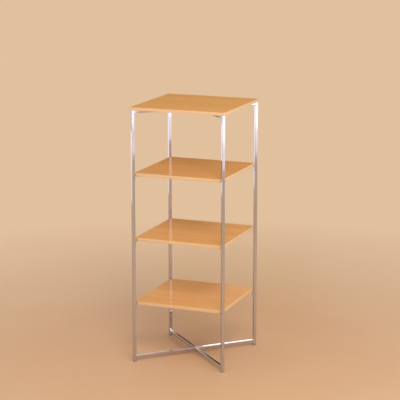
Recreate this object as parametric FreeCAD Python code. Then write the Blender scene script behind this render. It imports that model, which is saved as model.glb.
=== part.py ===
"""Four-tier display shelf: boards carried between four square-tube legs.

The legs stand on the diagonals of the boards, so every tube in the frame is turned
45 degrees to the board edges. A flat cross of tubes is welded between the legs just
above the floor, and a second one just under the top board. All sizes are millimetres.
Origin: on the floor, under the middle of the boards. +X right, +Y rear, +Z up.
"""
import FreeCAD
import Part
import math
import os

from FreeCAD import Vector

# Overall sizes
overall_height = 1066.8
top_board_side = 406.4
board_thickness = 12.7
shelf_spacing = 269.9
shelf_inset = 11.2

# Square tube of the legs and the crosses
tube_side = 12.7
tube_wall = 1.2
tube_corner_radius = 1.6
leg_setback = 0.3
base_cross_clearance = 12.7

# Boards: a core with an edge band glued round it
edge_band_thickness = 1.0
edge_band_bevel = 0.5
top_board_corner_radius = 3.0
shelf_corner_gap = 4.85

# Plastic glide pushed into the foot of each leg
glide_foot_thickness = 3.0
glide_foot_bevel = 0.9
glide_stem_side = 7.0
glide_stem_length = 15.0
glide_fin_thickness = 1.2
glide_fin_spacing = 3.8
glide_fin_count = 3
glide_fin_clearance = 0.05

# Bent strip bracket welded to the leg under each corner of a shelf
bracket_thickness = 2.5
bracket_height = 22.0
bracket_reach = 27.0
bracket_bend_radius = 1.2
bracket_tip_bevel = 2.4

# Peg that stands on the bracket and enters the underside of the shelf
peg_radius = 2.5
peg_rise = 7.0
peg_setback = 18.0
peg_hole_clearance = 0.08
peg_hole_end_gap = 1.0

# Pan-head wood screw up through the top cross into the top board
screw_radius = 2.0
screw_penetration = 9.0
screw_point_length = 4.0
screw_head_radius = 4.0
screw_head_height = 2.4
screw_head_rim = 0.9
screw_head_top_radius = 2.6
screw_slot_width = 1.0
screw_slot_length = 4.2
screw_slot_depth = 1.3
screw_hole_clearance = 0.25
screw_pilot_clearance = 0.05
screw_pilot_end_gap = 1.0
screw_distance = 150.0

# One overrun for every cut that passes right through
cut_overrun = 1.0

# Tolerance for finding an edge by its direction or its place, as a share of its size
edge_search_share = 1e-6

# Legs by name, evenly spaced anticlockwise round the boards, seen from above
LEG_NAMES = ("right_rear", "left_rear", "left_front", "right_front")
LEG_ANGLES = {
    name: 360 / len(LEG_NAMES) * (place + 1 / 2) for place, name in enumerate(LEG_NAMES)
}

# Shelves by name, counted down from the top board
SHELF_NAMES = ("upper_shelf", "middle_shelf", "lower_shelf")

# Sizes of the tube and the reach of the legs, worked out from the sizes above
half_tube = tube_side / 2
tube_flat = tube_side - 2 * tube_corner_radius
tube_bore_side = tube_side - 2 * tube_wall
tube_corner_reach = (half_tube - tube_corner_radius) * math.sqrt(2) + tube_corner_radius
leg_radius = (top_board_side / 2 - leg_setback - tube_corner_reach) * math.sqrt(2)
leg_inner_face = leg_radius - half_tube
shelf_side = top_board_side - 2 * shelf_inset
shelf_corner_reach = leg_inner_face - shelf_corner_gap
peg_axis = leg_inner_face - peg_setback

# Heights worked out from the sizes above
top_board_underside = overall_height - board_thickness
base_cross_axis = base_cross_clearance + half_tube
top_cross_axis = top_board_underside - half_tube

ORIGIN = Vector(0, 0, 0)
AXIS_Y = Vector(0, 1, 0)
AXIS_Z = Vector(0, 0, 1)


def save(name, shape):
    """Write one sub-part to its own file."""
    shape.exportStep(os.path.join("parts", name + ".step"))


def turned(shape, degrees):
    """A copy of a shape turned about the vertical axis of the whole shelf."""
    copy = shape.copy()
    copy.rotate(ORIGIN, AXIS_Z, degrees)
    return copy


def at_every_leg(shape):
    """Four copies of a shape modelled for a leg that stands on +X."""
    return Part.makeCompound([turned(shape, angle) for angle in LEG_ANGLES.values()])


def runs_along(edge, axis):
    """True for a straight edge that runs along an axis."""
    run = edge.Vertexes[-1].Point - edge.Vertexes[0].Point
    return run.Length > 0 and run.cross(axis).Length < run.Length * edge_search_share


def edges_along(solid, axis):
    """All the straight edges of a solid that run along an axis."""
    return [edge for edge in solid.Edges if runs_along(edge, axis)]


def rounded_edge(solid, point, axis, radius):
    """Round the straight edge that runs along an axis through a point."""
    reach = radius * edge_search_share
    chosen = [
        edge
        for edge in edges_along(solid, axis)
        if edge.Vertexes[0].Point.distanceToLine(point, axis) < reach
    ]
    return solid.makeFillet(radius, chosen)


def square_bar(side, length, bottom):
    """An upright square bar on the vertical axis."""
    return Part.makeBox(side, side, length, Vector(-side / 2, -side / 2, bottom))


def square_tube(length):
    """An upright length of the frame's tube, open at both ends."""
    bar = square_bar(tube_side, length, 0)
    bar = bar.makeFillet(tube_corner_radius, edges_along(bar, AXIS_Z))
    return bar.cut(square_bar(tube_bore_side, length + 2 * cut_overrun, -cut_overrun))


def laid_along_x(tube, start, height):
    """Lay an upright tube down along +X, from start, with its axis at a height."""
    laid = tube.copy()
    laid.rotate(ORIGIN, AXIS_Y, 90)
    laid.translate(Vector(start, 0, height))
    return laid


def hole_from_below(radius, distance, bottom, depth):
    """A cutter on +X for an upright hole of a given depth, open at the bottom."""
    return Part.makeCylinder(
        radius, depth + cut_overrun, Vector(distance, 0, bottom - cut_overrun), AXIS_Z
    )


def turned_part(profile):
    """A solid of revolution about the vertical, from (radius, height) corners."""
    corners = [Vector(radius, 0, height) for radius, height in profile]
    face = Part.Face(Part.makePolygon(corners + corners[:1]))
    return face.revolve(ORIGIN, AXIS_Z, 360)


def leg():
    """A leg on +X, from the top of its glide to the underside of the top board."""
    tube = square_tube(top_board_underside - glide_foot_thickness)
    tube.translate(Vector(leg_radius, 0, glide_foot_thickness))
    return tube


def glide():
    """Tube insert with thin gripping fins and a bevelled foot, for a leg on +X."""
    foot = square_bar(tube_side, glide_foot_thickness, 0)
    corner_cut = tube_corner_radius * (2 - math.sqrt(2))
    foot = foot.makeChamfer(corner_cut, edges_along(foot, AXIS_Z))
    lower_rim = [edge for edge in foot.Edges if edge.BoundBox.ZMax < glide_foot_bevel]
    insert = foot.makeChamfer(glide_foot_bevel, lower_rim)
    insert = insert.fuse(square_bar(glide_stem_side, glide_stem_length, 0))
    fin_side = tube_bore_side - 2 * glide_fin_clearance
    for step in range(1, glide_fin_count + 1):
        fin_bottom = glide_foot_thickness + glide_fin_spacing * step - glide_fin_thickness
        insert = insert.fuse(square_bar(fin_side, glide_fin_thickness, fin_bottom))
    insert = insert.removeSplitter()
    insert.translate(Vector(leg_radius, 0, 0))
    return insert


def cross_long_tube(height):
    """The tube of a cross that runs from leg to leg, lying along X."""
    return laid_along_x(square_tube(2 * leg_inner_face), -leg_inner_face, height)


def cross_arm(height):
    """A short tube from the side of the long one to a leg on +X."""
    return laid_along_x(square_tube(leg_inner_face - half_tube), half_tube, height)


def drilled_for_screw(tube, distance):
    """Drill upwards through a tube of the top cross that lies along X."""
    hole = hole_from_below(
        screw_radius + screw_hole_clearance,
        distance,
        top_cross_axis - half_tube,
        tube_side + cut_overrun,
    )
    return tube.cut(hole)


def screw():
    """A screw with a cross recess, pointing up under an arm of the top cross on +X."""
    length = tube_side + screw_penetration
    solid = turned_part(
        [
            (0, length),
            (0, -screw_head_height),
            (screw_head_top_radius, -screw_head_height),
            (screw_head_radius, -screw_head_rim),
            (screw_head_radius, 0),
            (screw_radius, 0),
            (screw_radius, length - screw_point_length),
        ]
    )
    slot = Part.makeBox(
        screw_slot_length,
        screw_slot_width,
        screw_slot_depth + cut_overrun,
        Vector(
            -screw_slot_length / 2,
            -screw_slot_width / 2,
            -screw_head_height - cut_overrun,
        ),
    )
    solid = solid.cut(slot.fuse(turned(slot, 90)))
    solid.translate(Vector(screw_distance, 0, top_cross_axis - half_tube))
    return solid


def bracket(underside):
    """A strip bent to an L, welded to the inner face of a leg on +X."""
    tip = leg_inner_face - bracket_reach
    outer_bend = Vector(leg_inner_face, -tube_flat / 2, underside)
    inner_bend = outer_bend - Vector(bracket_thickness, 0, bracket_thickness)
    corners = [
        Vector(tip, -tube_flat / 2, underside),
        outer_bend,
        outer_bend - Vector(0, 0, bracket_height),
        outer_bend - Vector(bracket_thickness, 0, bracket_height),
        inner_bend,
        Vector(tip, -tube_flat / 2, underside - bracket_thickness),
    ]
    profile = Part.Face(Part.makePolygon(corners + corners[:1]))
    strip = profile.extrude(Vector(0, tube_flat, 0))
    strip = rounded_edge(strip, outer_bend, AXIS_Y, bracket_bend_radius + bracket_thickness)
    strip = rounded_edge(strip, inner_bend, AXIS_Y, bracket_bend_radius)
    tip_edges = [
        edge
        for edge in edges_along(strip, AXIS_Z)
        if edge.BoundBox.XMax < tip + bracket_tip_bevel
    ]
    return strip.makeChamfer(bracket_tip_bevel, tip_edges)


def peg(underside):
    """A round peg that stands on the bracket on +X."""
    return Part.makeCylinder(peg_radius, peg_rise, Vector(peg_axis, 0, underside), AXIS_Z)


def rounded_board(side, corner_radius, underside):
    """A square board with rounded corners."""
    board = square_bar(side, board_thickness, underside)
    return board.makeFillet(corner_radius, edges_along(board, AXIS_Z))


def corner_cut_board(side, corner_reach, underside):
    """A square board whose corners are cut off at 45 degrees, at a reach from the middle."""
    board = square_bar(side, board_thickness, underside)
    return board.common(turned(square_bar(2 * corner_reach, board_thickness, underside), 45))


def edge_band(outline, core):
    """The strip between the outline of a board and its core, with bevelled long edges."""
    rims = [edge for edge in outline.Edges if edge.BoundBox.ZLength < edge_band_bevel]
    return outline.makeChamfer(edge_band_bevel, rims).cut(core)


def top_board():
    """Core and edge band of the top board, which covers the legs."""
    outline = rounded_board(top_board_side, top_board_corner_radius, top_board_underside)
    core = rounded_board(
        top_board_side - 2 * edge_band_thickness,
        top_board_corner_radius - edge_band_thickness,
        top_board_underside,
    )
    pilot = hole_from_below(
        screw_radius + screw_pilot_clearance,
        screw_distance,
        top_board_underside,
        screw_penetration + screw_pilot_end_gap,
    )
    return core.cut(at_every_leg(pilot)), edge_band(outline, core)


def shelf(underside):
    """Core and edge band of a shelf whose cut corners face the legs."""
    outline = corner_cut_board(shelf_side, shelf_corner_reach, underside)
    core = corner_cut_board(
        shelf_side - 2 * edge_band_thickness,
        shelf_corner_reach - edge_band_thickness,
        underside,
    )
    socket = hole_from_below(
        peg_radius + peg_hole_clearance, peg_axis, underside, peg_rise + peg_hole_end_gap
    )
    return core.cut(at_every_leg(socket)), edge_band(outline, core)


def save_frame():
    """The legs with their glides, and the two crosses between them."""
    for name, angle in LEG_ANGLES.items():
        save("leg_" + name, turned(leg(), angle))
        save("glide_" + name, turned(glide(), angle))
    for cross, height in (("base", base_cross_axis), ("top", top_cross_axis)):
        long_tube = cross_long_tube(height)
        arm = cross_arm(height)
        if cross == "top":
            long_tube = drilled_for_screw(long_tube, -screw_distance)
            long_tube = drilled_for_screw(long_tube, screw_distance)
            arm = drilled_for_screw(arm, screw_distance)
        save(cross + "_cross_long_tube", turned(long_tube, LEG_ANGLES["right_rear"]))
        save(cross + "_cross_front_arm", turned(arm, LEG_ANGLES["right_front"]))
        save(cross + "_cross_rear_arm", turned(arm, LEG_ANGLES["left_rear"]))


def save_shelves():
    """The three shelves with their brackets and pegs."""
    for number, name in enumerate(SHELF_NAMES, start=1):
        underside = top_board_underside - shelf_spacing * number
        core, band = shelf(underside)
        save(name + "_core", core)
        save(name + "_edge_band", band)
        save(name + "_pegs", at_every_leg(peg(underside)))
        for leg_name, angle in LEG_ANGLES.items():
            save(name + "_bracket_" + leg_name, turned(bracket(underside), angle))


def save_top_board():
    """The top board and the screws that hold it down."""
    core, band = top_board()
    save("top_board_core", core)
    save("top_board_edge_band", band)
    save("top_board_screws", at_every_leg(screw()))


def main():
    os.makedirs("parts", exist_ok=True)
    save_frame()
    save_shelves()
    save_top_board()


main()
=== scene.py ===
import math

import bmesh
import bpy
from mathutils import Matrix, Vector, noise


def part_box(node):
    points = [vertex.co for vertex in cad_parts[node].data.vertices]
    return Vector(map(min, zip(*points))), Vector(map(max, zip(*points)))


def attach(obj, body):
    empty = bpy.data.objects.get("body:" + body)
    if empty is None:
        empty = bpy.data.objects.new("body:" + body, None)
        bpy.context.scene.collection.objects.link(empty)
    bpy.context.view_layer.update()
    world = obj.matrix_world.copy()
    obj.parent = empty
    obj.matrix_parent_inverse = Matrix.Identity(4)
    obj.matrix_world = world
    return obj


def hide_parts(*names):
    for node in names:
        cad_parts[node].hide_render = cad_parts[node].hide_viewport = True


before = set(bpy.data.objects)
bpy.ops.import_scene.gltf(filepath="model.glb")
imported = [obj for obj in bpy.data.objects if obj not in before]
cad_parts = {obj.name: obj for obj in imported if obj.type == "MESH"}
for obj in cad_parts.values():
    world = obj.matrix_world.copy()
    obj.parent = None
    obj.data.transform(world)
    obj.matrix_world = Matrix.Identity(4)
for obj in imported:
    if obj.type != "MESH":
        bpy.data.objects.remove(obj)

# Looks of the four-tier display shelf: satin honey boards with paler edge bands, in a
# welded frame of chromed square tube. Everything is in metres, in the fixed frame.

MM = 0.001
UP = Vector((0, 0, 1))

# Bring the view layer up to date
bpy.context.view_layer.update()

LEG_NAMES = ("left_front", "right_front", "right_rear", "left_rear")
ARM_LEG_NAMES = ("right_front", "left_rear")
SHELF_NAMES = ("upper_shelf", "middle_shelf", "lower_shelf")
BOARD_NAMES = ("top_board",) + SHELF_NAMES
CROSS_TUBE_NAMES = ("long_tube", "front_arm", "rear_arm")

# Places worked out from the frame
tube_low, tube_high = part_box("base_cross_long_tube")
half_tube = (tube_high.z - tube_low.z) / 2
base_cross_axis = (tube_low.z + tube_high.z) / 2
top_board_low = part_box("top_board_core")[0]
top_cross_axis = top_board_low.z - half_tube


def leg_centre(leg_name):
    """Where a leg stands, on the floor."""
    low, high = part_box("leg_" + leg_name)
    return Vector(((low.x + high.x) / 2, (low.y + high.y) / 2, 0))


def leg_direction(leg_name):
    """From the middle of the shelf towards a leg."""
    return leg_centre(leg_name).normalized()


leg_inner_face = leg_centre("right_rear").length - half_tube


# Colours, from what a screen shows to what a shader takes

SCREEN_FULL = 255
SCREEN_TOE = 0.04045
SCREEN_TOE_SLOPE = 12.92
SCREEN_OFFSET = 0.055
SCREEN_POWER = 2.4


def seen_colour(red, green, blue):
    """A shader colour from the values, 0 to 255, that it shows on a screen."""
    def linear(value):
        share = value / SCREEN_FULL
        if share <= SCREEN_TOE:
            return share / SCREEN_TOE_SLOPE
        return ((share + SCREEN_OFFSET) / (1 + SCREEN_OFFSET)) ** SCREEN_POWER
    return (linear(red), linear(green), linear(blue), 1.0)


BOARD_DEEP = seen_colour(219, 162, 95)
BOARD_PALE = seen_colour(229, 174, 107)
BOARD_FIBRE = seen_colour(205, 145, 80)
BOARD_FLECK = seen_colour(160, 96, 43)
BAND_DEEP = seen_colour(217, 173, 124)
BAND_PALE = seen_colour(231, 190, 143)
CHROME = (0.57, 0.575, 0.64, 1.0)
CHROME_DULL = (0.45, 0.455, 0.50, 1.0)
ZINC_DEEP = (0.42, 0.42, 0.42, 1.0)
ZINC_PALE = (0.58, 0.57, 0.55, 1.0)
GLIDE_DEEP = seen_colour(92, 90, 90)
GLIDE_PALE = seen_colour(112, 110, 110)


# Materials: small helpers for node trees

# Sockets of the Mix node, which gives numbers and colours the same names
MIX_FACTOR = 0
MIX_FIRST_NUMBER = 2
MIX_SECOND_NUMBER = 3
MIX_FIRST_COLOUR = 6
MIX_SECOND_COLOUR = 7
MIX_NUMBER_RESULT = 0
MIX_COLOUR_RESULT = 2

SOCKET_NAMES = {
    "metallic": "Metallic",
    "roughness": "Roughness",
    "coat": "Coat Weight",
    "coat_roughness": "Coat Roughness",
    "coat_refraction": "Coat IOR",
    "gloss": "Specular IOR Level",
}


class Finish:
    """A material under construction: its tree, its main shader and its own coordinates."""

    def __init__(self, name):
        self.material = bpy.data.materials.new(name)
        self.material.use_nodes = True
        self.tree = self.material.node_tree
        self.shader = self.tree.nodes["Principled BSDF"]
        self.place = self.tree.nodes.new("ShaderNodeTexCoord").outputs["Object"]

    def node(self, kind):
        """A new node of a kind."""
        return self.tree.nodes.new("ShaderNode" + kind)

    def link(self, output, socket):
        """Feed a socket from an output."""
        self.tree.links.new(output, socket)

    def fix(self, **values):
        """Set constants straight on the main shader's sockets."""
        for name, value in values.items():
            self.shader.inputs[SOCKET_NAMES[name]].default_value = value

    def feed(self, socket_name, output):
        """Feed a socket of the main shader."""
        self.link(output, self.shader.inputs[socket_name])

    def noise(self, scale, detail=2.0, roughness=0.5, distortion=0.0):
        """Smooth noise on the piece, with a number of features per metre along each axis."""
        mapping = self.node("Mapping")
        mapping.inputs["Scale"].default_value = scale
        self.link(self.place, mapping.inputs["Vector"])
        texture = self.node("TexNoise")
        texture.inputs["Scale"].default_value = 1.0
        texture.inputs["Detail"].default_value = detail
        texture.inputs["Roughness"].default_value = roughness
        texture.inputs["Distortion"].default_value = distortion
        self.link(mapping.outputs["Vector"], texture.inputs["Vector"])
        return texture.outputs["Fac"]

    def ranged(self, value, swing, limits):
        """A value that runs between the limits as the input runs over its swing."""
        ranged = self.node("MapRange")
        names = ("From Min", "From Max", "To Min", "To Max")
        for name, number in zip(names, swing + limits):
            ranged.inputs[name].default_value = number
        self.link(value, ranged.inputs["Value"])
        return ranged.outputs["Result"]

    def maths(self, operation, first, second):
        """One sum of two outputs or numbers."""
        maths = self.node("Math")
        maths.operation = operation
        for socket, value in zip(maths.inputs, (first, second)):
            if isinstance(value, (int, float)):
                socket.default_value = value
            else:
                self.link(value, socket)
        return maths.outputs["Value"]

    def chosen(self, factor, first, second):
        """One of two outputs, by a factor of 0 or 1."""
        mix = self.node("Mix")
        mix.data_type = "FLOAT"
        self.link(factor, mix.inputs[MIX_FACTOR])
        self.link(first, mix.inputs[MIX_FIRST_NUMBER])
        self.link(second, mix.inputs[MIX_SECOND_NUMBER])
        return mix.outputs[MIX_NUMBER_RESULT]

    def mixed(self, factor, first, second):
        """Two colours mixed by the output of a factor; each is an output or a colour."""
        mix = self.node("Mix")
        mix.data_type = "RGBA"
        self.link(factor, mix.inputs[MIX_FACTOR])
        for index, value in ((MIX_FIRST_COLOUR, first), (MIX_SECOND_COLOUR, second)):
            if isinstance(value, tuple):
                mix.inputs[index].default_value = value
            else:
                self.link(value, mix.inputs[index])
        return mix.outputs[MIX_COLOUR_RESULT]

    def bumped(self, height, depth, strength):
        """Raise the surface by a height map of a real depth."""
        bump = self.node("Bump")
        bump.inputs["Strength"].default_value = strength
        bump.inputs["Distance"].default_value = depth
        self.link(height, bump.inputs["Height"])
        self.feed("Normal", bump.outputs["Normal"])


# Finishes of the shelf

# A scale is features per metre along X, Y and Z. A swing is the part of a noise's range
# that is read, and a share is how far it mixes in the next colour.
WHOLE = (0, 1)
MIDDLE_SWING = (0.3, 0.7)
LACQUER_REFRACTION = 1.5

BOARD_TONE_SCALE = (1.6, 16, 9)
BOARD_FIBRE_SCALE = (11, 420, 420)
BOARD_FIBRE_SWING = (0.35, 0.75)
BOARD_FIBRE_SHARE = (0, 0.35)
BOARD_FLECK_SCALE = (150, 1100, 700)
BOARD_FLECK_SWING = (0.66, 0.74)
BOARD_FLECK_SHARE = (0, 0.45)
BOARD_ROUGHNESS = (0.30, 0.42)
BAND_LINES_ALONG_X = (14, 300, 900)
BAND_LINES_ALONG_Y = (300, 14, 900)
BAND_ROUGHNESS = (0.34, 0.46)
WOOD_GRAIN_DEPTH = 0.02 * MM

SMUDGE_SCALE = (28, 28, 17)
SMUDGE_SWING = (0.35, 0.75)
SMUDGE_ROUGHNESS = 0.05
SMUDGE_DULL_SWING = (0.4, 0.8)
SMUDGE_DULL_SHARE = (0, 0.12)
POLISH_SCALE = (1500, 1500, 1500)
POLISH_HEIGHT = 0.02
WAVE_SCALE = (26, 26, 22)
WAVE_DEPTH = 0.05 * MM
TUBE_ROUGHNESS = 0.05
BRACKET_ROUGHNESS = 0.12

ZINC_SCALE = (600, 600, 600)
ZINC_ROUGHNESS = (0.28, 0.42)
ZINC_DEPTH = 0.02 * MM

GLIDE_GRAIN_SCALE = (1800, 1800, 1800)
GLIDE_GRAIN_DEPTH = 0.03 * MM
GLIDE_SCUFF_SCALE = (220, 220, 60)
GLIDE_SCUFF_SWING = (0.4, 0.7)
GLIDE_ROUGHNESS = (0.45, 0.6)


def board_finish():
    """Satin lacquered beech: straight fibres along X, short dark flecks, broad soft tone."""
    finish = Finish("beech_board")
    tone = finish.noise(BOARD_TONE_SCALE, detail=3.0, distortion=0.3)
    fibre = finish.noise(BOARD_FIBRE_SCALE, detail=3.0, roughness=0.6)
    fleck = finish.noise(BOARD_FLECK_SCALE, detail=1.0)
    tone_share = finish.ranged(tone, MIDDLE_SWING, WHOLE)
    fibre_share = finish.ranged(fibre, BOARD_FIBRE_SWING, BOARD_FIBRE_SHARE)
    fleck_share = finish.ranged(fleck, BOARD_FLECK_SWING, BOARD_FLECK_SHARE)
    base = finish.mixed(tone_share, BOARD_DEEP, BOARD_PALE)
    base = finish.mixed(fibre_share, base, BOARD_FIBRE)
    base = finish.mixed(fleck_share, base, BOARD_FLECK)
    finish.feed("Base Color", base)
    finish.feed("Roughness", finish.ranged(fibre, MIDDLE_SWING, BOARD_ROUGHNESS))
    finish.fix(gloss=0.0, coat=0.36, coat_roughness=0.14, coat_refraction=LACQUER_REFRACTION)
    finish.bumped(finish.maths("SUBTRACT", fibre, fleck), WOOD_GRAIN_DEPTH, strength=0.5)
    return finish.material


def band_finish():
    """Paler beech edge band: fine lines that run along the edge on all four sides."""
    finish = Finish("beech_edge_band")
    along_x = finish.noise(BAND_LINES_ALONG_X, detail=3.0, roughness=0.6)
    along_y = finish.noise(BAND_LINES_ALONG_Y, detail=3.0, roughness=0.6)
    parts = finish.node("SeparateXYZ")
    finish.link(finish.place, parts.inputs["Vector"])
    from_middle_x = finish.maths("ABSOLUTE", parts.outputs["X"], 0)
    from_middle_y = finish.maths("ABSOLUTE", parts.outputs["Y"], 0)
    on_y_run = finish.maths("GREATER_THAN", from_middle_x, from_middle_y)
    line = finish.chosen(on_y_run, along_x, along_y)
    line_share = finish.ranged(line, MIDDLE_SWING, WHOLE)
    finish.feed("Base Color", finish.mixed(line_share, BAND_DEEP, BAND_PALE))
    finish.feed("Roughness", finish.ranged(line, MIDDLE_SWING, BAND_ROUGHNESS))
    finish.fix(coat=0.4, coat_roughness=0.2, coat_refraction=LACQUER_REFRACTION)
    finish.bumped(line, WOOD_GRAIN_DEPTH, strength=0.5)
    return finish.material


def chrome_finish(name, roughness):
    """Bright plating: a slow waviness, fine polishing marks and faint smudges."""
    finish = Finish(name)
    smudge = finish.noise(SMUDGE_SCALE, detail=5.0, roughness=0.6, distortion=0.5)
    polish = finish.noise(POLISH_SCALE, detail=1.0)
    wave = finish.noise(WAVE_SCALE, detail=1.0)
    rough_range = (roughness, roughness + SMUDGE_ROUGHNESS)
    finish.feed("Roughness", finish.ranged(smudge, SMUDGE_SWING, rough_range))
    dull_share = finish.ranged(smudge, SMUDGE_DULL_SWING, SMUDGE_DULL_SHARE)
    finish.feed("Base Color", finish.mixed(dull_share, CHROME, CHROME_DULL))
    finish.fix(metallic=1.0)
    height = finish.maths("ADD", wave, finish.maths("MULTIPLY", polish, POLISH_HEIGHT))
    finish.bumped(height, WAVE_DEPTH, strength=0.4)
    return finish.material


def zinc_finish(name):
    """Dull zinc plate on the small steel pieces."""
    finish = Finish(name)
    bloom = finish.noise(ZINC_SCALE, detail=3.0)
    finish.feed("Roughness", finish.ranged(bloom, MIDDLE_SWING, ZINC_ROUGHNESS))
    finish.feed("Base Color", finish.mixed(bloom, ZINC_DEEP, ZINC_PALE))
    finish.fix(metallic=1.0)
    finish.bumped(bloom, ZINC_DEPTH, strength=0.4)
    return finish.material


def glide_finish():
    """Grey moulded plastic with a fine matt grain."""
    finish = Finish("glide_plastic")
    grain = finish.noise(GLIDE_GRAIN_SCALE)
    scuff = finish.noise(GLIDE_SCUFF_SCALE, detail=3.0)
    scuff_share = finish.ranged(scuff, GLIDE_SCUFF_SWING, WHOLE)
    finish.feed("Base Color", finish.mixed(scuff_share, GLIDE_DEEP, GLIDE_PALE))
    finish.feed("Roughness", finish.ranged(grain, MIDDLE_SWING, GLIDE_ROUGHNESS))
    finish.bumped(grain, GLIDE_GRAIN_DEPTH, strength=0.6)
    return finish.material


FINISHES = {
    "wood_board": board_finish(),
    "wood_edge_band": band_finish(),
    "chromed_tube": chrome_finish("chromed_tube", TUBE_ROUGHNESS),
    "chromed_bracket": chrome_finish("chromed_bracket", BRACKET_ROUGHNESS),
    "peg_steel": zinc_finish("peg_zinc"),
    "screw_steel": zinc_finish("screw_zinc"),
    "glide_plastic": glide_finish(),
}


def paint(node_name, material):
    """Give a node of the fixed frame its finish."""
    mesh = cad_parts[node_name].data
    mesh.materials.clear()
    mesh.materials.append(material)


def paint_frame():
    """Finishes of all the nodes that show."""
    for board in BOARD_NAMES:
        paint(board + "_core", FINISHES["wood_board"])
    for leg in LEG_NAMES:
        paint("leg_" + leg, FINISHES["chromed_tube"])
        paint("glide_" + leg, FINISHES["glide_plastic"])
        for shelf in SHELF_NAMES:
            paint(shelf + "_bracket_" + leg, FINISHES["chromed_bracket"])
    for tube in CROSS_TUBE_NAMES:
        paint("base_cross_" + tube, FINISHES["chromed_tube"])
        paint("top_cross_" + tube, FINISHES["chromed_tube"])
    for shelf in SHELF_NAMES:
        paint(shelf + "_pegs", FINISHES["peg_steel"])
    paint("top_board_screws", FINISHES["screw_steel"])


paint_frame()


# New pieces: edge bands with rounded edges, and the weld beads of tubes and brackets

SHARP_ANGLE = math.radians(40)
MERGE_DISTANCE = 0.001 * MM


def object_from(mesh, name, material):
    """Turn a finished bmesh into an object with one material."""
    data = bpy.data.meshes.new(name)
    mesh.to_mesh(data)
    mesh.free()
    data.materials.append(material)
    made = bpy.data.objects.new(name, data)
    bpy.context.collection.objects.link(made)
    return made


def piece_from(mesh, name, body, slot):
    """Turn a finished bmesh into a piece that rides on a body."""
    bmesh.ops.remove_doubles(mesh, verts=mesh.verts, dist=MERGE_DISTANCE)
    bmesh.ops.recalc_face_normals(mesh, faces=mesh.faces)
    piece = object_from(mesh, name, FINISHES[slot])
    piece.data.shade_smooth()
    piece.data.set_sharp_from_angle(angle=SHARP_ANGLE)
    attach(piece, body)
    return piece


def bevelled(mesh, geometry, offset, segments, affect):
    """Round edges or vertices."""
    bmesh.ops.bevel(
        mesh, geom=geometry, offset=offset, offset_type="OFFSET", segments=segments,
        profile=0.5, affect=affect, material=-1, clamp_overlap=True,
    )


# Edge bands

BAND_EDGE_RADIUS = 0.8 * MM
BAND_CUT_RADIUS = 1.2 * MM
CORNER_SEGMENTS = 8
EDGE_SEGMENTS = 3
LEVEL_TOLERANCE = 0.01 * MM
FLAT_ENOUGH = 0.99


def board_outline(mesh, board, half_side):
    """The outline of a board as one face: round corners on the top, cut corners on a shelf."""
    bmesh.ops.create_grid(mesh, x_segments=1, y_segments=1, size=half_side)
    band_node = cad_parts[board + "_edge_band"]
    diagonal_reach = max(point.co.x + point.co.y for point in band_node.data.vertices)
    short_of_corner = 2 * half_side - diagonal_reach
    if board == "top_board":
        # Along X plus Y, a round corner ends this many radii short of a sharp one
        radius = short_of_corner / (2 - math.sqrt(2))
        bevelled(mesh, mesh.verts[:], radius, CORNER_SEGMENTS, "VERTICES")
    else:
        bevelled(mesh, mesh.verts[:], short_of_corner, 1, "VERTICES")
        bevelled(mesh, mesh.verts[:], BAND_CUT_RADIUS, EDGE_SEGMENTS, "VERTICES")


def level_faces(mesh, height):
    """The flat faces at a height."""
    return [
        face for face in mesh.faces
        if abs(face.calc_center_median().z - height) < LEVEL_TOLERANCE
        and abs(face.normal.z) > FLAT_ENOUGH
    ]


def edge_band(board, body):
    """The solid band glued round a board, with rounded long edges."""
    low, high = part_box(board + "_edge_band")
    core_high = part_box(board + "_core")[1]
    thickness = high.x - core_high.x
    heights = (low.z, high.z)
    mesh = bmesh.new()
    board_outline(mesh, board, high.x)
    bmesh.ops.translate(mesh, verts=mesh.verts, vec=(0, 0, low.z))
    grown = bmesh.ops.extrude_face_region(mesh, geom=mesh.faces[:])["geom"]
    upper = [item for item in grown if isinstance(item, bmesh.types.BMVert)]
    bmesh.ops.translate(mesh, verts=upper, vec=(0, 0, high.z - low.z))
    bmesh.ops.recalc_face_normals(mesh, faces=mesh.faces)
    rims = {
        edge for height in heights
        for face in level_faces(mesh, height)
        for edge in face.edges
    }
    bevelled(mesh, list(rims), BAND_EDGE_RADIUS, EDGE_SEGMENTS, "EDGES")
    inner_edges = []
    for height in heights:
        faces = level_faces(mesh, height)
        bmesh.ops.inset_region(mesh, faces=faces, thickness=thickness - BAND_EDGE_RADIUS)
        inner_edges += [edge for face in faces for edge in face.edges]
        bmesh.ops.delete(mesh, geom=faces, context="FACES_ONLY")
    bmesh.ops.bridge_loops(mesh, edges=inner_edges)
    piece = piece_from(mesh, board + "_band", body, "wood_edge_band")
    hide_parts(board + "_edge_band")


edge_band("top_board", "frame")
for shelf_name in SHELF_NAMES:
    edge_band(shelf_name, shelf_name)


# Weld beads: helpers that both kinds share

WELD_RIPPLE = 0.22 * MM
RIPPLE_PITCH = 1.3 * MM


def grown_ring(bead, edges):
    """Extrude a ring of edges where it lies: the edges and the points of the new ring."""
    grown = bmesh.ops.extrude_edge_only(bead, edges=edges)["geom"]
    new_edges = [
        item for item in grown
        if isinstance(item, bmesh.types.BMEdge) and item.is_boundary
    ]
    new_points = [item for item in grown if isinstance(item, bmesh.types.BMVert)]
    return new_edges, new_points


def add_bead(mesh, bead):
    """Add a finished bead to the mesh of all beads."""
    data = bpy.data.meshes.new("bead")
    bead.to_mesh(data)
    bead.free()
    mesh.from_mesh(data)
    bpy.data.meshes.remove(data)


def ripple(place):
    """How far, from -1 to 1, a weld swells or sinks at a place."""
    return noise.noise(place / RIPPLE_PITCH)


# Welds of the tubes

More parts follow.
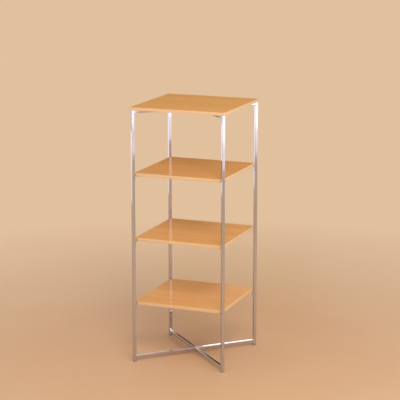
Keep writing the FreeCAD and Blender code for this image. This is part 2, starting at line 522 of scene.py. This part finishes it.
TUBE_CORNER = 1.6 * MM
FILLET = 1.4 * MM
FILLET_LIP = 0.02 * MM
FILLET_MIDDLE = (0.42 * FILLET, 0.46 * FILLET)
WELD_SINK = 0.25 * MM
WELD_PROUD = 0.12 * MM
WELD_CUTS = 9

# The loops of a bead as (distance along the tube, growth out of its sides). The wide
# section lies where the flat face goes on past the tube, and the flush one where the
# face ends level with the tube in a round corner.
WIDE_SECTION = (
    (FILLET, -WELD_SINK),
    (FILLET, FILLET_LIP),
    FILLET_MIDDLE,
    (0.0, FILLET),
    (-WELD_SINK, FILLET),
    (-WELD_SINK, -WELD_SINK),
)
FLUSH_SECTION = (
    (FILLET / 2, -WELD_SINK),
    (FILLET / 2, 0.0),
    (0.0, WELD_PROUD),
    (-TUBE_CORNER / 2, WELD_PROUD),
    (-TUBE_CORNER, 0.0),
    (-TUBE_CORNER, -WELD_SINK),
)
RIPPLED_LOOPS = (1, 2, 3)


class Joint:
    """A tube's end butted to a flat face: where it is and how the weld lies there."""

    def __init__(self, place, along, wide, room_up=True):
        self.place = place
        self.along = along
        self.wide = wide
        self.flush = along.cross(wide)
        self.room_up = room_up


def weld_loop(step, share):
    """Distance and growth of a loop, at a share of the way from the wide to the flush side."""
    return [
        wide * (1 - share) + flush * share
        for wide, flush in zip(WIDE_SECTION[step], FLUSH_SECTION[step])
    ]


def weld_bead(mesh, joint):
    """A closed ring of weld round a tube's end, with a fine ripple."""
    bead = bmesh.new()
    bmesh.ops.create_grid(bead, x_segments=1, y_segments=1, size=half_tube)
    bevelled(bead, bead.verts[:], TUBE_CORNER, EDGE_SEGMENTS, "VERTICES")
    long_edges = [edge for edge in bead.edges if edge.calc_length() > half_tube]
    bmesh.ops.subdivide_edges(bead, edges=long_edges, cuts=WELD_CUTS)
    bmesh.ops.delete(bead, geom=bead.faces[:], context="FACES_ONLY")
    first_edges = bead.edges[:]
    edges = first_edges
    loops = [bead.verts[:]]
    while len(loops) < len(WIDE_SECTION):
        edges, points = grown_ring(bead, edges)
        loops.append(points)
    bmesh.ops.bridge_loops(bead, edges=first_edges + edges)
    for step, loop in enumerate(loops):
        for point in loop:
            across, tall = point.co.x, point.co.y
            # 0 on the wide sides, 1 on the flush sides, and halfway at the corners
            share = min(max((abs(across) - abs(tall)) / half_tube + 1 / 2, 0), 1)
            distance, growth = weld_loop(step, share)
            # A tube that lies against the top board has no weld on its upper side
            if not joint.room_up and share < 1 and tall > 0:
                growth = -WELD_SINK
            sway = ripple(joint.place + Vector((across, tall, step * FILLET)))
            if step in RIPPLED_LOOPS and growth > 0:
                distance += sway * WELD_RIPPLE * (1 - share)
                growth += sway * WELD_RIPPLE / 2
            scale = 1 + growth / half_tube
            place = joint.place + joint.along * distance
            place += joint.flush * across * scale + joint.wide * tall * scale
            point.co = place
    add_bead(mesh, bead)


def tube_welds():
    """Beads where the tubes of both crosses meet the legs and each other."""
    mesh = bmesh.new()
    for axis_height, room_up in ((base_cross_axis, True), (top_cross_axis, False)):
        level = UP * axis_height
        for leg in LEG_NAMES:
            outward = leg_direction(leg)
            weld_bead(mesh, Joint(level + outward * leg_inner_face, -outward, UP, room_up))
        for leg in ARM_LEG_NAMES:
            outward = leg_direction(leg)
            sideways = UP.cross(outward)
            weld_bead(mesh, Joint(level + outward * half_tube, outward, sideways))
    piece_from(mesh, "tube_welds", "frame", "chromed_tube")


tube_welds()


# Welds of the brackets

BRACKET_BEAD = 0.85 * MM
BRACKET_BEAD_END = 0.3 * MM
BRACKET_BEAD_STEP = 0.6 * MM
BRACKET_BEAD_SIDES = 8
BRACKET_TOP_GAP = 4.0 * MM
BRACKET_TURN = 1.2 * MM
BRACKET_TURN_STEPS = 3


def bracket_path(half_width, top, bottom):
    """Points (across, height) down one side of a bracket's flange, under it and up the other."""
    points = []
    height = top
    while height > bottom + BRACKET_TURN:
        points.append((-half_width, height))
        height -= BRACKET_BEAD_STEP
    for step in range(BRACKET_TURN_STEPS + 1):
        angle = step / BRACKET_TURN_STEPS * math.pi / 2
        points.append((
            -half_width + BRACKET_TURN * (1 - math.cos(angle)),
            bottom + BRACKET_TURN * (1 - math.sin(angle)),
        ))
    across = -half_width + BRACKET_TURN + BRACKET_BEAD_STEP
    while across < 0:
        points.append((across, bottom))
        across += BRACKET_BEAD_STEP
    return points + [(-across, height) for across, height in reversed(points)]


def bracket_bead(mesh, leg, shelf):
    """A small bead that ties a bracket's flange to its leg on three sides."""
    low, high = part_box(shelf + "_bracket_" + leg)
    outward = leg_direction(leg)
    sideways = UP.cross(outward)
    path = bracket_path(half_tube - TUBE_CORNER, high.z - BRACKET_TOP_GAP, low.z)
    bead = bmesh.new()
    bmesh.ops.create_circle(
        bead, cap_ends=True, radius=BRACKET_BEAD, segments=BRACKET_BEAD_SIDES,
    )
    edges = bead.edges[:]
    ring = bead.verts[:]
    shape = [(point.co.x / BRACKET_BEAD, point.co.y / BRACKET_BEAD) for point in ring]
    last = len(path) - 1
    for index, (across, height) in enumerate(path):
        if index:
            edges, ring = grown_ring(bead, edges)
        before = path[max(index - 1, 0)]
        after = path[min(index + 1, last)]
        run = (sideways * (after[0] - before[0]) + UP * (after[1] - before[1])).normalized()
        flank = run.cross(outward)
        centre = outward * leg_inner_face + sideways * across + UP * height
        if index in (0, last):
            radius = BRACKET_BEAD_END
        else:
            radius = BRACKET_BEAD + ripple(centre) * WELD_RIPPLE
        for point, (one, two) in zip(ring, shape):
            point.co = centre + (flank * one + outward * two) * radius
    bmesh.ops.contextual_create(bead, geom=edges)
    add_bead(mesh, bead)


def bracket_welds():
    """The beads of all twelve brackets."""
    mesh = bmesh.new()
    for shelf in SHELF_NAMES:
        for leg in LEG_NAMES:
            bracket_bead(mesh, leg, shelf)
    piece_from(mesh, "bracket_welds", "frame", "chromed_bracket")


bracket_welds()


# Studio: backdrop and fill

# Colours of the backdrop at heights above the horizon, in degrees
BACKDROP_BAND = seen_colour(138, 96, 58)
BACKDROP_STEPS = (
    (1, seen_colour(225, 192, 158)),
    (9, BACKDROP_BAND),
    (11, BACKDROP_BAND),
    (16.2, seen_colour(240, 212, 180)),
)
FILL_LIGHT = seen_colour(255, 247, 238)
FILL_STRENGTH = 0.64


def studio_world():
    """A backdrop that deepens above the horizon, for what is seen or mirrored, and a soft fill."""
    world = bpy.data.worlds.new("studio")
    bpy.context.scene.world = world
    world.use_nodes = True
    tree = world.node_tree
    tree.nodes.clear()
    path = tree.nodes.new("ShaderNodeLightPath")
    seen = path.outputs["Is Camera Ray"]
    for ray in ("Is Glossy Ray", "Is Transmission Ray"):
        either = tree.nodes.new("ShaderNodeMath")
        either.operation = "MAXIMUM"
        tree.links.new(seen, either.inputs[0])
        tree.links.new(path.outputs[ray], either.inputs[1])
        seen = either.outputs["Value"]
    fill = tree.nodes.new("ShaderNodeBackground")
    fill.inputs["Color"].default_value = FILL_LIGHT
    fill.inputs["Strength"].default_value = FILL_STRENGTH
    direction = tree.nodes.new("ShaderNodeTexCoord").outputs["Generated"]
    parts = tree.nodes.new("ShaderNodeSeparateXYZ")
    tree.links.new(direction, parts.inputs["Vector"])
    ramp = tree.nodes.new("ShaderNodeValToRGB")
    tree.links.new(parts.outputs["Z"], ramp.inputs["Fac"])
    stops = ramp.color_ramp.elements
    while len(stops) < len(BACKDROP_STEPS):
        stops.new(1.0)
    for stop, (elevation, colour) in zip(stops, BACKDROP_STEPS):
        stop.position = math.sin(math.radians(elevation))
        stop.color = colour
    backdrop = tree.nodes.new("ShaderNodeBackground")
    tree.links.new(ramp.outputs["Color"], backdrop.inputs["Color"])
    backdrop.inputs["Strength"].default_value = 1.0
    choose = tree.nodes.new("ShaderNodeMixShader")
    tree.links.new(seen, choose.inputs["Fac"])
    tree.links.new(fill.outputs["Background"], choose.inputs[1])
    tree.links.new(backdrop.outputs["Background"], choose.inputs[2])
    output = tree.nodes.new("ShaderNodeOutputWorld")
    tree.links.new(choose.outputs["Shader"], output.inputs["Surface"])


# Studio: floor

FLOOR_DEEP = seen_colour(206, 166, 127)
FLOOR_PALE = seen_colour(212, 173, 134)
FLOOR_MOTTLE_SCALE = (3, 3, 3)
FLOOR_RADIUS = 4.0
FLOOR_SEGMENTS = 96
# How far from the middle the floor starts to fade, and where it is gone
FLOOR_FADE = (0.7, 2.5)


def floor_finish():
    """Pale satin floor that fades into the backdrop away from the shelf."""
    finish = Finish("floor")
    mottle = finish.noise(FLOOR_MOTTLE_SCALE, detail=3.0)
    finish.feed("Base Color", finish.mixed(mottle, FLOOR_DEEP, FLOOR_PALE))
    finish.fix(roughness=0.38, gloss=0.04)
    reach = finish.node("VectorMath")
    reach.operation = "LENGTH"
    finish.link(finish.place, reach.inputs[0])
    fade = finish.ranged(reach.outputs["Value"], FLOOR_FADE, WHOLE)
    clear = finish.node("BsdfTransparent")
    blend = finish.node("MixShader")
    finish.link(fade, blend.inputs["Fac"])
    finish.link(finish.shader.outputs["BSDF"], blend.inputs[1])
    finish.link(clear.outputs["BSDF"], blend.inputs[2])
    output = finish.tree.nodes["Material Output"]
    finish.link(blend.outputs["Shader"], output.inputs["Surface"])
    return finish.material


def floor():
    """A disc on the ground."""
    mesh = bmesh.new()
    bmesh.ops.create_circle(mesh, cap_ends=True, radius=FLOOR_RADIUS, segments=FLOOR_SEGMENTS)
    disc = object_from(mesh, "floor", floor_finish())


# Studio: lamps

COOL_WHITE = seen_colour(240, 246, 255)
LILAC_WHITE = seen_colour(224, 233, 255)
WARM_WHITE = seen_colour(255, 250, 246)

SIDE_DIRECTION = Vector((0.93, -0.37, 0))
SIDE_DISTANCE = 3.5
SIDE_HALF_SPAN = 1.3

# Steps of the tall side panel as (name, bottom, top, glow, colour)
SIDE_STEPS = (
    ("side_upper", 1.0, 2.1, 2.4, COOL_WHITE),
    ("side_lower", 0.375, 1.0, 1.9, COOL_WHITE),
    ("side_skirt", 0.2, 0.375, 0.82, LILAC_WHITE),
)

RIM_DIRECTION = -SIDE_DIRECTION
LOW_DISTANCE = 2.6
BACK_DISTANCE = 3.4

# The ring of low panels as (name, direction, distance, half of the span)
LOW_PANELS = (
    ("rim", RIM_DIRECTION, LOW_DISTANCE, 0.9),
    ("back_left", Vector((-0.602, 0.799, 0)), LOW_DISTANCE, 0.55),
    ("back", Vector((0.0, 1.0, 0)), BACK_DISTANCE, 0.55),
    ("back_right", Vector((0.707, 0.707, 0)), LOW_DISTANCE, 0.7),
    ("right", Vector((0.970, 0.242, 0)), LOW_DISTANCE, 0.65),
    ("left", Vector((-0.951, -0.309, 0)), LOW_DISTANCE, 0.9),
    ("front_left", Vector((-0.574, -0.819, 0)), LOW_DISTANCE, 0.8),
)

# Steps of each low panel as (end of its name, bottom, top, glow)
LOW_STEPS = (
    ("_upper", 0.45, 0.85, 1.08),
    ("_middle", 0.3, 0.45, 0.85),
    ("_lower", 0.13, 0.3, 0.6),
)

KEY_PLACE = Vector((1.5, -2.4, 2.75))
KEY_AIM = Vector((0, 0, 0.5))
KEY_SIDE = 1.3
KEY_GLOW = 12.0


def panel_lamp(name, place, aim, width, height, radiance, colour):
    """A flat rectangular lamp that shows this radiance to what mirrors it."""
    data = bpy.data.lights.new(name, "AREA")
    data.shape = "RECTANGLE"
    data.size = width
    data.size_y = height
    data.energy = radiance * math.pi * width * height
    data.color = colour[:3]
    lamp = bpy.data.objects.new(name, data)
    lamp.location = place
    lamp.rotation_euler = (aim - place).to_track_quat("-Z", "Y").to_euler()
    lamp.visible_camera = False
    bpy.context.collection.objects.link(lamp)


def wall_panel(name, direction, distance, half_span, bottom, top, glow, colour):
    """An upright panel lamp that faces the shelf from a direction."""
    aim = UP * (bottom + top) / 2
    place = direction.normalized() * distance + aim
    panel_lamp(name, place, aim, 2 * half_span, top - bottom, glow, colour)


def lamps():
    """A tall side panel and a ring of low ones, each in steps of brightness, and the key lamp."""
    for name, bottom, top, glow, colour in SIDE_STEPS:
        wall_panel(name, SIDE_DIRECTION, SIDE_DISTANCE, SIDE_HALF_SPAN, bottom, top, glow, colour)
    for side, direction, distance, half_span in LOW_PANELS:
        for step, bottom, top, glow in LOW_STEPS:
            wall_panel(side + step, direction, distance, half_span, bottom, top, glow, LILAC_WHITE)
    panel_lamp("key", KEY_PLACE, KEY_AIM, KEY_SIDE, KEY_SIDE, KEY_GLOW, WARM_WHITE)


# Studio: glowing cards out of the camera's sight, which paint dark and bright reflections on the
# tubes that mirror them

CARD_NEARER = 0.1
NEAR_CARD_DISTANCE = 1.0
SIDE_RUN = Vector((0.37, 0.93, 0))
BEHIND = Vector((-0.368, 0.93, 0))
BEHIND_RUN = Vector((0.93, 0.368, 0))
# Painted shade: the dark brown of the arm cards, which the base cross's arms mirror in place of
# the shadowed floor beside them
PAINTED_SHADE_BROWN = seen_colour(80, 48, 24)

# Each card stands upright out in a direction. It reaches from one place to another
# along its run, and from its bottom to its top above the floor.
PAINTED_REFLECTION_CARDS = {
    # Painted dark reflection: a dark brown card that the top cross's front arm mirrors near the
    # right-front leg
    "top_arm_dark_reflection_card": {
        "direction": RIM_DIRECTION, "run": SIDE_RUN, "distance": LOW_DISTANCE - CARD_NEARER,
        "from": -0.162, "to": -0.02, "bottom": 0.56, "top": 0.75,
        "colour": seen_colour(118, 66, 26), "glow": 1.0, "shades": True,
    },
    # Painted dim reflection: a mauve card in front of the side panel, which the top cross's long
    # tube mirrors near the left-front leg in place of the bright panel
    "top_tube_dim_reflection_card": {
        "direction": SIDE_DIRECTION, "run": SIDE_RUN, "distance": SIDE_DISTANCE - CARD_NEARER,
        "from": -0.385, "to": -0.204, "bottom": 0.3, "top": 0.85,
        "colour": seen_colour(222, 172, 154), "glow": 1.0, "shades": True,
    },
    # Painted highlight: a bright glowing card that the base cross's long tube mirrors as white
    # along its right half
    "base_tube_highlight_card": {
        "direction": BEHIND, "run": BEHIND_RUN, "distance": LOW_DISTANCE,
        "from": 0.045, "to": 0.352, "bottom": 0.78, "top": 0.888,
        "colour": seen_colour(255, 255, 255), "glow": 2.9, "shades": True,
    },
    # Painted shade on the rear arm of the base cross, seen through its mirror
    "base_rear_arm_shade_card": {
        "direction": BEHIND, "run": BEHIND_RUN, "distance": NEAR_CARD_DISTANCE,
        "from": -0.137, "to": -0.002, "bottom": 0.272, "top": 0.352,
        "colour": PAINTED_SHADE_BROWN, "glow": 1.0, "shades": False,
    },
    # Painted shade on the front arm of the base cross, seen through its mirror
    "base_front_arm_shade_card": {
        "direction": BEHIND, "run": BEHIND_RUN, "distance": NEAR_CARD_DISTANCE,
        "from": 0.018, "to": 0.15, "bottom": 0.362, "top": 0.479,
        "colour": PAINTED_SHADE_BROWN, "glow": 1.0, "shades": False,
    },
}


def card_finish(name, plan):
    """An even glow of a card's colour."""
    material = bpy.data.materials.new(name)
    material.use_nodes = True
    tree = material.node_tree
    tree.nodes.remove(tree.nodes["Principled BSDF"])
    glow = tree.nodes.new("ShaderNodeEmission")
    glow.inputs["Color"].default_value = plan["colour"]
    glow.inputs["Strength"].default_value = plan["glow"]
    output = tree.nodes["Material Output"]
    tree.links.new(glow.outputs["Emission"], output.inputs["Surface"])
    return material


def painted_reflection_card(name, plan):
    """A glowing card that paints a darker or a brighter reflection on the tubes that mirror it."""
    direction = plan["direction"].normalized()
    run = plan["run"].normalized()
    mesh = bmesh.new()
    bmesh.ops.create_grid(mesh, x_segments=1, y_segments=1, size=1)
    for point in mesh.verts:
        across = plan["from"] if point.co.x < 0 else plan["to"]
        height = plan["bottom"] if point.co.y < 0 else plan["top"]
        point.co = direction * plan["distance"] + run * across + UP * height
    card = object_from(mesh, name, card_finish(name, plan))
    card.visible_camera = False
    card.visible_shadow = plan["shades"]
    card.visible_diffuse = plan["shades"]


# Camera: where the photograph was taken from

CAMERA_AZIMUTH = math.radians(21.614)
CAMERA_DISTANCE = 6.141
CAMERA_HEIGHT = 2.0007
AIM_HEIGHT = 0.661
AIM_RIGHT = 0.019
FOCAL_LENGTH = 136.77
SENSOR_WIDTH = 36.0


def camera():
    """A long lens in front and to the right, well above the top board."""
    data = bpy.data.cameras.new("camera")
    data.sensor_width = SENSOR_WIDTH
    data.lens = FOCAL_LENGTH
    eye = bpy.data.objects.new("camera", data)
    right = Vector((math.cos(CAMERA_AZIMUTH), math.sin(CAMERA_AZIMUTH), 0))
    back = Vector((math.sin(CAMERA_AZIMUTH), -math.cos(CAMERA_AZIMUTH), 0))
    eye.location = back * CAMERA_DISTANCE + UP * CAMERA_HEIGHT
    aim = right * AIM_RIGHT + UP * AIM_HEIGHT
    eye.rotation_euler = (aim - eye.location).to_track_quat("-Z", "Y").to_euler()
    bpy.context.collection.objects.link(eye)
    bpy.context.scene.camera = eye


studio_world()
floor()
lamps()
# Painted reflections: the tubes mirror these glowing cards as dark patches and one bright
# highlight
for card_name, card_plan in PAINTED_REFLECTION_CARDS.items():
    painted_reflection_card(card_name, card_plan)
camera()
bpy.context.scene.view_settings.view_transform = "Standard"
